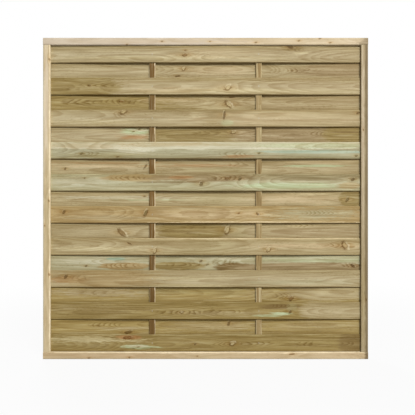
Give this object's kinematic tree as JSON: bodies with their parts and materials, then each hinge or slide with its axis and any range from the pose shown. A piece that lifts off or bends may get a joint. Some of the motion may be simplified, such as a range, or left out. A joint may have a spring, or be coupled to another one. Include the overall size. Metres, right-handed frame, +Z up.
{
  "type": "fence panel",
  "caption": "Square framed fence panel of pressure-treated softwood, with thin horizontal slats woven past upright battens for privacy.",
  "frame": {"origin": "middle of the panel's footprint, on the underside of the bottom rail", "axes": "+X across the panel to the right as seen from the front, +Y from the front face to the back, +Z up; the front is the -Y side, on which the odd-numbered slats stand forward"},
  "size_m": [1.8, 0.045, 1.78],
  "materials": {
    "frame_wood": "planed pressure-treated softwood, matt, pale honey with a green tint",
    "batten_wood": "planed pressure-treated softwood, matt, browner than the slats",
    "slat_wood": "fine-sawn pressure-treated softwood, matt, straw and olive with knots",
    "screw_metal": "zinc-plated, dull",
    "staple_metal": "galvanised wire, dull"
  },
  "bodies": {
    "root": {"top_rail": "frame_wood", "bottom_rail": "frame_wood", "left_stile": "frame_wood", "right_stile": "frame_wood", "left_batten": "batten_wood", "right_batten": "batten_wood", "slat_01": "slat_wood", "slat_02": "slat_wood", "slat_03": "slat_wood", "slat_04": "slat_wood", "slat_05": "slat_wood", "slat_06": "slat_wood", "slat_07": "slat_wood", "slat_08": "slat_wood", "slat_09": "slat_wood", "slat_10": "slat_wood", "slat_11": "slat_wood", "slat_12": "slat_wood", "slat_13": "slat_wood", "slat_14": "slat_wood", "slat_15": "slat_wood", "slat_16": "slat_wood", "slat_17": "slat_wood", "slat_18": "slat_wood", "slat_19": "slat_wood", "corner_screws": "screw_metal", "slat_staples": "staple_metal"}
  },
  "joints": []
}
